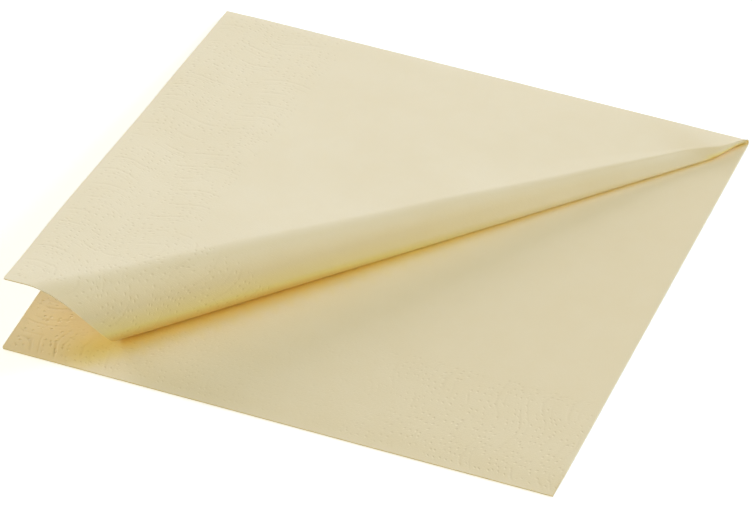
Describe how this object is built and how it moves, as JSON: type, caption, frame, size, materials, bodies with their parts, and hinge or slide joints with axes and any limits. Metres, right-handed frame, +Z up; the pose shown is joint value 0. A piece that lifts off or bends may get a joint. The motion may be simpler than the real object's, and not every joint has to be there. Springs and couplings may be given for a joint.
{
  "type": "folded paper napkin",
  "caption": "Square cream tissue napkin folded into quarters, its upper leaf lifted and rolled under itself along the diagonal.",
  "frame": {"origin": "middle of the folded square, on the surface that it lies on", "axes": "+X along the front side towards the first fold, +Y towards the second fold at the back, +Z up"},
  "size_m": [0.165, 0.1648, 0.0249],
  "materials": {
    "tissue": "soft matte tissue, embossed band along the open edges"
  },
  "bodies": {
    "root": {"napkin": "tissue"}
  },
  "joints": []
}
